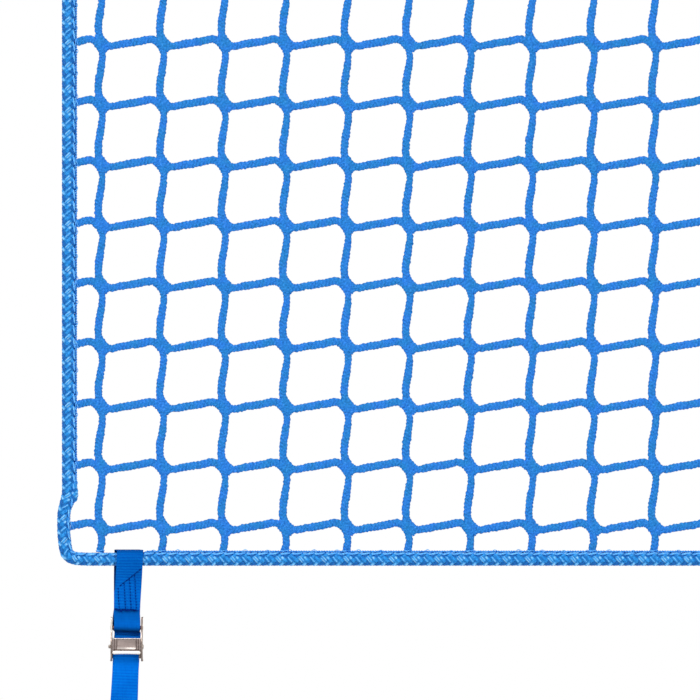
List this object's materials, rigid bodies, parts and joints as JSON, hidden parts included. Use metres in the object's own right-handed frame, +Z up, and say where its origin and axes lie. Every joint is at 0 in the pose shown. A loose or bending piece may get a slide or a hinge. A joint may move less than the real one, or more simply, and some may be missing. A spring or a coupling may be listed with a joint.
{
  "type": "cargo climbing net",
  "caption": "Square blue mesh net with a braided border rope, hung and tied down by webbing straps with spring-loaded cam buckles",
  "frame": {"origin": "on the axis of the top rail that the net hangs from, halfway between the two top straps", "axes": "+X along the rail and the net's width, +Z up, -Y the front with the buckle levers"},
  "size_m": [1.036, 0.0769, 1.5188],
  "materials": {
    "twine": "knobbly braided polyester twine, mid blue",
    "rope": "braided polyester rope, mid blue with brighter strand highlights",
    "seam_thread": "sewing cord along the rope, light and dark blue",
    "webbing": "ribbed woven polyester webbing, deep blue",
    "stitch_thread": "dark navy sewing thread",
    "buckle_steel": "zinc-plated pressed steel, slightly worn",
    "lever_steel": "zinc-plated pressed steel, satin",
    "spring_steel": "drawn spring wire"
  },
  "bodies": {
    "rail_loops_top": {"rail_loop_top_left": "webbing", "rail_loop_top_right": "webbing"},
    "upper_straps": {"sewn_webbing_top_left": "webbing", "stitching_top_left": "stitch_thread", "buckle_frame_top_left": "buckle_steel", "rear_bar_top_left": "buckle_steel", "cam_pin_top_left": "buckle_steel", "long_webbing_top_left": "webbing", "webbing_legs_top_left": "webbing", "tail_run_top_left": "webbing", "tail_arch_top_left": "webbing", "sewn_webbing_top_right": "webbing", "stitching_top_right": "stitch_thread", "buckle_frame_top_right": "buckle_steel", "rear_bar_top_right": "buckle_steel", "cam_pin_top_right": "buckle_steel", "long_webbing_top_right": "webbing", "webbing_legs_top_right": "webbing", "tail_run_top_right": "webbing", "tail_arch_top_right": "webbing"},
    "net": {"row_twines": "twine", "column_twines": "twine", "border_rope": "rope", "rope_splice": "rope", "seam_cord": "seam_thread"},
    "lever_top_left": {"cam_lever_top_left": "lever_steel", "cam_spring_top_left": "spring_steel"},
    "tail_top_left": {"tail_top_left": "webbing"},
    "lever_top_right": {"cam_lever_top_right": "lever_steel", "cam_spring_top_right": "spring_steel"},
    "tail_top_right": {"tail_top_right": "webbing"},
    "lever_bottom_left": {"cam_lever_bottom_left": "lever_steel", "cam_spring_bottom_left": "spring_steel"},
    "tail_bottom_left": {"tail_bottom_left": "webbing"},
    "lever_bottom_right": {"cam_lever_bottom_right": "lever_steel", "cam_spring_bottom_right": "spring_steel"},
    "tail_bottom_right": {"tail_bottom_right": "webbing"},
    "strap_bottom_left": {"sewn_webbing_bottom_left": "webbing", "stitching_bottom_left": "stitch_thread", "buckle_frame_bottom_left": "buckle_steel", "rear_bar_bottom_left": "buckle_steel", "cam_pin_bottom_left": "buckle_steel", "long_webbing_bottom_left": "webbing", "webbing_legs_bottom_left": "webbing", "tail_run_bottom_left": "webbing"},
    "loop_bottom_left": {"rail_loop_bottom_left": "webbing"},
    "strap_bottom_right": {"sewn_webbing_bottom_right": "webbing", "stitching_bottom_right": "stitch_thread", "buckle_frame_bottom_right": "buckle_steel", "rear_bar_bottom_right": "buckle_steel", "cam_pin_bottom_right": "buckle_steel", "long_webbing_bottom_right": "webbing", "webbing_legs_bottom_right": "webbing", "tail_run_bottom_right": "webbing"},
    "loop_bottom_right": {"rail_loop_bottom_right": "webbing"}
  },
  "joints": [
    {"name": "top_take_up", "type": "slide", "parent": "rail_loops_top", "child": "upper_straps", "axis": [0, 0, 1], "range_m": [0, 0.03], "deforming": ["webbing_legs_top_left", "webbing_legs_top_right"]},
    {"name": "net_swing", "type": "hinge", "parent": "upper_straps", "child": "net", "pos_m": [0, 0, -0.2], "axis": [1, 0, 0], "range_deg": [-80, 80]},
    {"name": "tail_pull_top_left", "type": "slide", "parent": "upper_straps", "child": "tail_top_left", "axis": [0, 0, -1], "range_m": [0, 0.06], "deforming": ["tail_run_top_left"]},
    {"name": "tail_pull_top_right", "type": "slide", "parent": "upper_straps", "child": "tail_top_right", "axis": [0, 0, -1], "range_m": [0, 0.06], "deforming": ["tail_run_top_right"]},
    {"name": "strap_swing_bottom_left", "type": "hinge", "parent": "net", "child": "strap_bottom_left", "pos_m": [-0.451, 0, -1.203], "axis": [1, 0, 0], "range_deg": [-120, 120]},
    {"name": "take_up_bottom_left", "type": "slide", "parent": "strap_bottom_left", "child": "loop_bottom_left", "axis": [0.0384, 0, 0.9993], "range_m": [0, 0.03], "deforming": ["webbing_legs_bottom_left"]},
    {"name": "tail_pull_bottom_left", "type": "slide", "parent": "strap_bottom_left", "child": "tail_bottom_left", "axis": [-0.0384, 0, -0.9993], "range_m": [0, 0.06], "deforming": ["tail_run_bottom_left"]},
    {"name": "strap_swing_bottom_right", "type": "hinge", "parent": "net", "child": "strap_bottom_right", "pos_m": [0.451, 0, -1.203], "axis": [1, 0, 0], "range_deg": [-120, 120]},
    {"name": "take_up_bottom_right", "type": "slide", "parent": "strap_bottom_right", "child": "loop_bottom_right", "axis": [-0.0175, 0, 0.9998], "range_m": [0, 0.03], "deforming": ["webbing_legs_bottom_right"]},
    {"name": "tail_pull_bottom_right", "type": "slide", "parent": "strap_bottom_right", "child": "tail_bottom_right", "axis": [0.0175, 0, -0.9998], "range_m": [0, 0.06], "deforming": ["tail_run_bottom_right"]},
    {"name": "lever_press_top_left", "type": "hinge", "parent": "upper_straps", "child": "lever_top_left", "pos_m": [-0.451, -0.0038, -0.1148], "axis": [1, 0, 0], "range_deg": [0, 35], "stiffness_Nm_per_rad": 0.02, "springref_deg": -45.84},
    {"name": "lever_press_top_right", "type": "hinge", "parent": "upper_straps", "child": "lever_top_right", "pos_m": [0.451, -0.0038, -0.1148], "axis": [1, 0, 0], "range_deg": [0, 35], "stiffness_Nm_per_rad": 0.02, "springref_deg": -45.84},
    {"name": "lever_press_bottom_left", "type": "hinge", "parent": "strap_bottom_left", "child": "lever_bottom_left", "pos_m": [-0.45427, -0.0038, -1.28814], "axis": [-0.9993, 0, 0.0384], "range_deg": [0, 35], "stiffness_Nm_per_rad": 0.02, "springref_deg": -45.84},
    {"name": "lever_press_bottom_right", "type": "hinge", "parent": "strap_bottom_right", "child": "lever_bottom_right", "pos_m": [0.45249, -0.0038, -1.28819], "axis": [-0.9998, 0, -0.0175], "range_deg": [0, 35], "stiffness_Nm_per_rad": 0.02, "springref_deg": -45.84}
  ],
  "couplings": [
    {"joint": "tail_pull_top_left", "follows": "top_take_up", "ratio": 2},
    {"joint": "tail_pull_top_right", "follows": "top_take_up", "ratio": 2},
    {"joint": "tail_pull_bottom_left", "follows": "take_up_bottom_left", "ratio": 2},
    {"joint": "tail_pull_bottom_right", "follows": "take_up_bottom_right", "ratio": 2}
  ]
}
